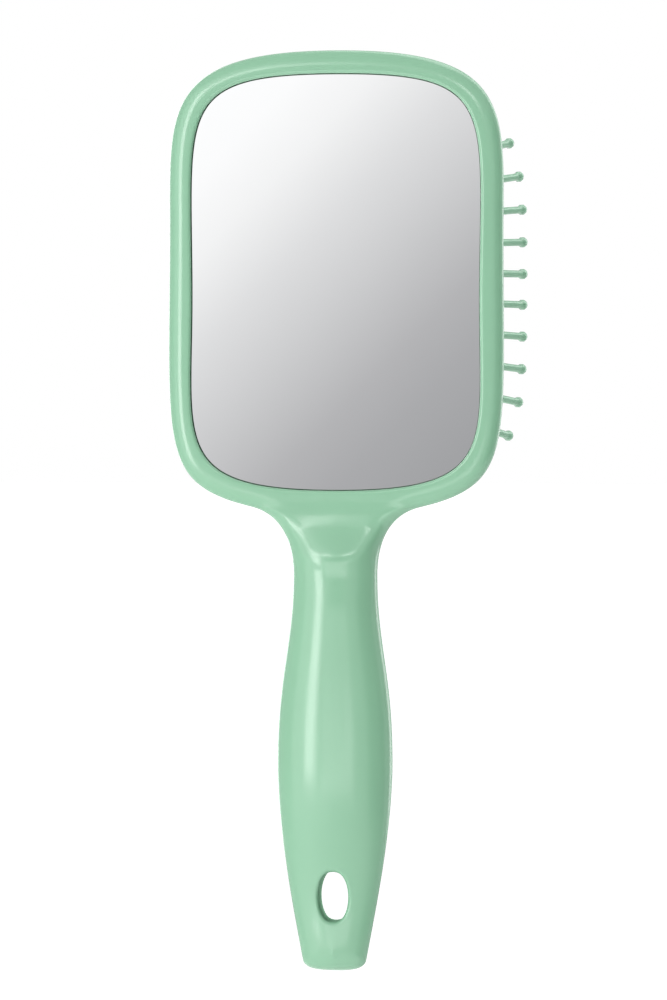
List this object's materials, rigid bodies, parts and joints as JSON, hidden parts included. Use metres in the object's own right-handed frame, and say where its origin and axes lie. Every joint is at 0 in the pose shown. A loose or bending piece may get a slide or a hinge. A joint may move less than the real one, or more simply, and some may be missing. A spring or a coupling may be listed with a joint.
{
  "type": "paddle hairbrush",
  "caption": "Paddle hairbrush with a rounded square head, a flat mirror let into its back, ball-tipped pins in an air cushion, and a slim handle with a hang hole.",
  "frame": {"origin": "on the handle's axis at the widest part of the grip, in the plane of the head's widest line", "axes": "+Z from the handle up to the head; -Y the mirror side, +Y the side of the pins; +X to the right seen from the mirror side"},
  "size_m": [0.0926, 0.0463, 0.235],
  "materials": {
    "body": "polished moulding",
    "pins": "polished moulding",
    "mirror": "silvered glass",
    "tape": "closed-cell foam",
    "cushion": "smooth, soft sheen",
    "ring": "plain moulding"
  },
  "bodies": {
    "brush": {"back_shell": "body", "front_shell": "body", "mirror": "mirror", "mirror_tape": "tape", "cushion_ring": "ring", "cushion": "cushion"},
    "pins": {"pin_row_01": "pins", "pin_row_02": "pins", "pin_row_03": "pins", "pin_row_04": "pins", "pin_row_05": "pins", "pin_row_06": "pins", "pin_row_07": "pins", "pin_row_08": "pins", "pin_row_09": "pins", "pin_row_10": "pins", "pin_row_11": "pins", "pin_row_12": "pins"}
  },
  "joints": [
    {"name": "cushion_press", "type": "slide", "parent": "brush", "child": "pins", "axis": [0, -1, 0], "range_m": [0, 0.003], "stiffness_N_per_m": 2000, "deforming": ["cushion"]}
  ]
}
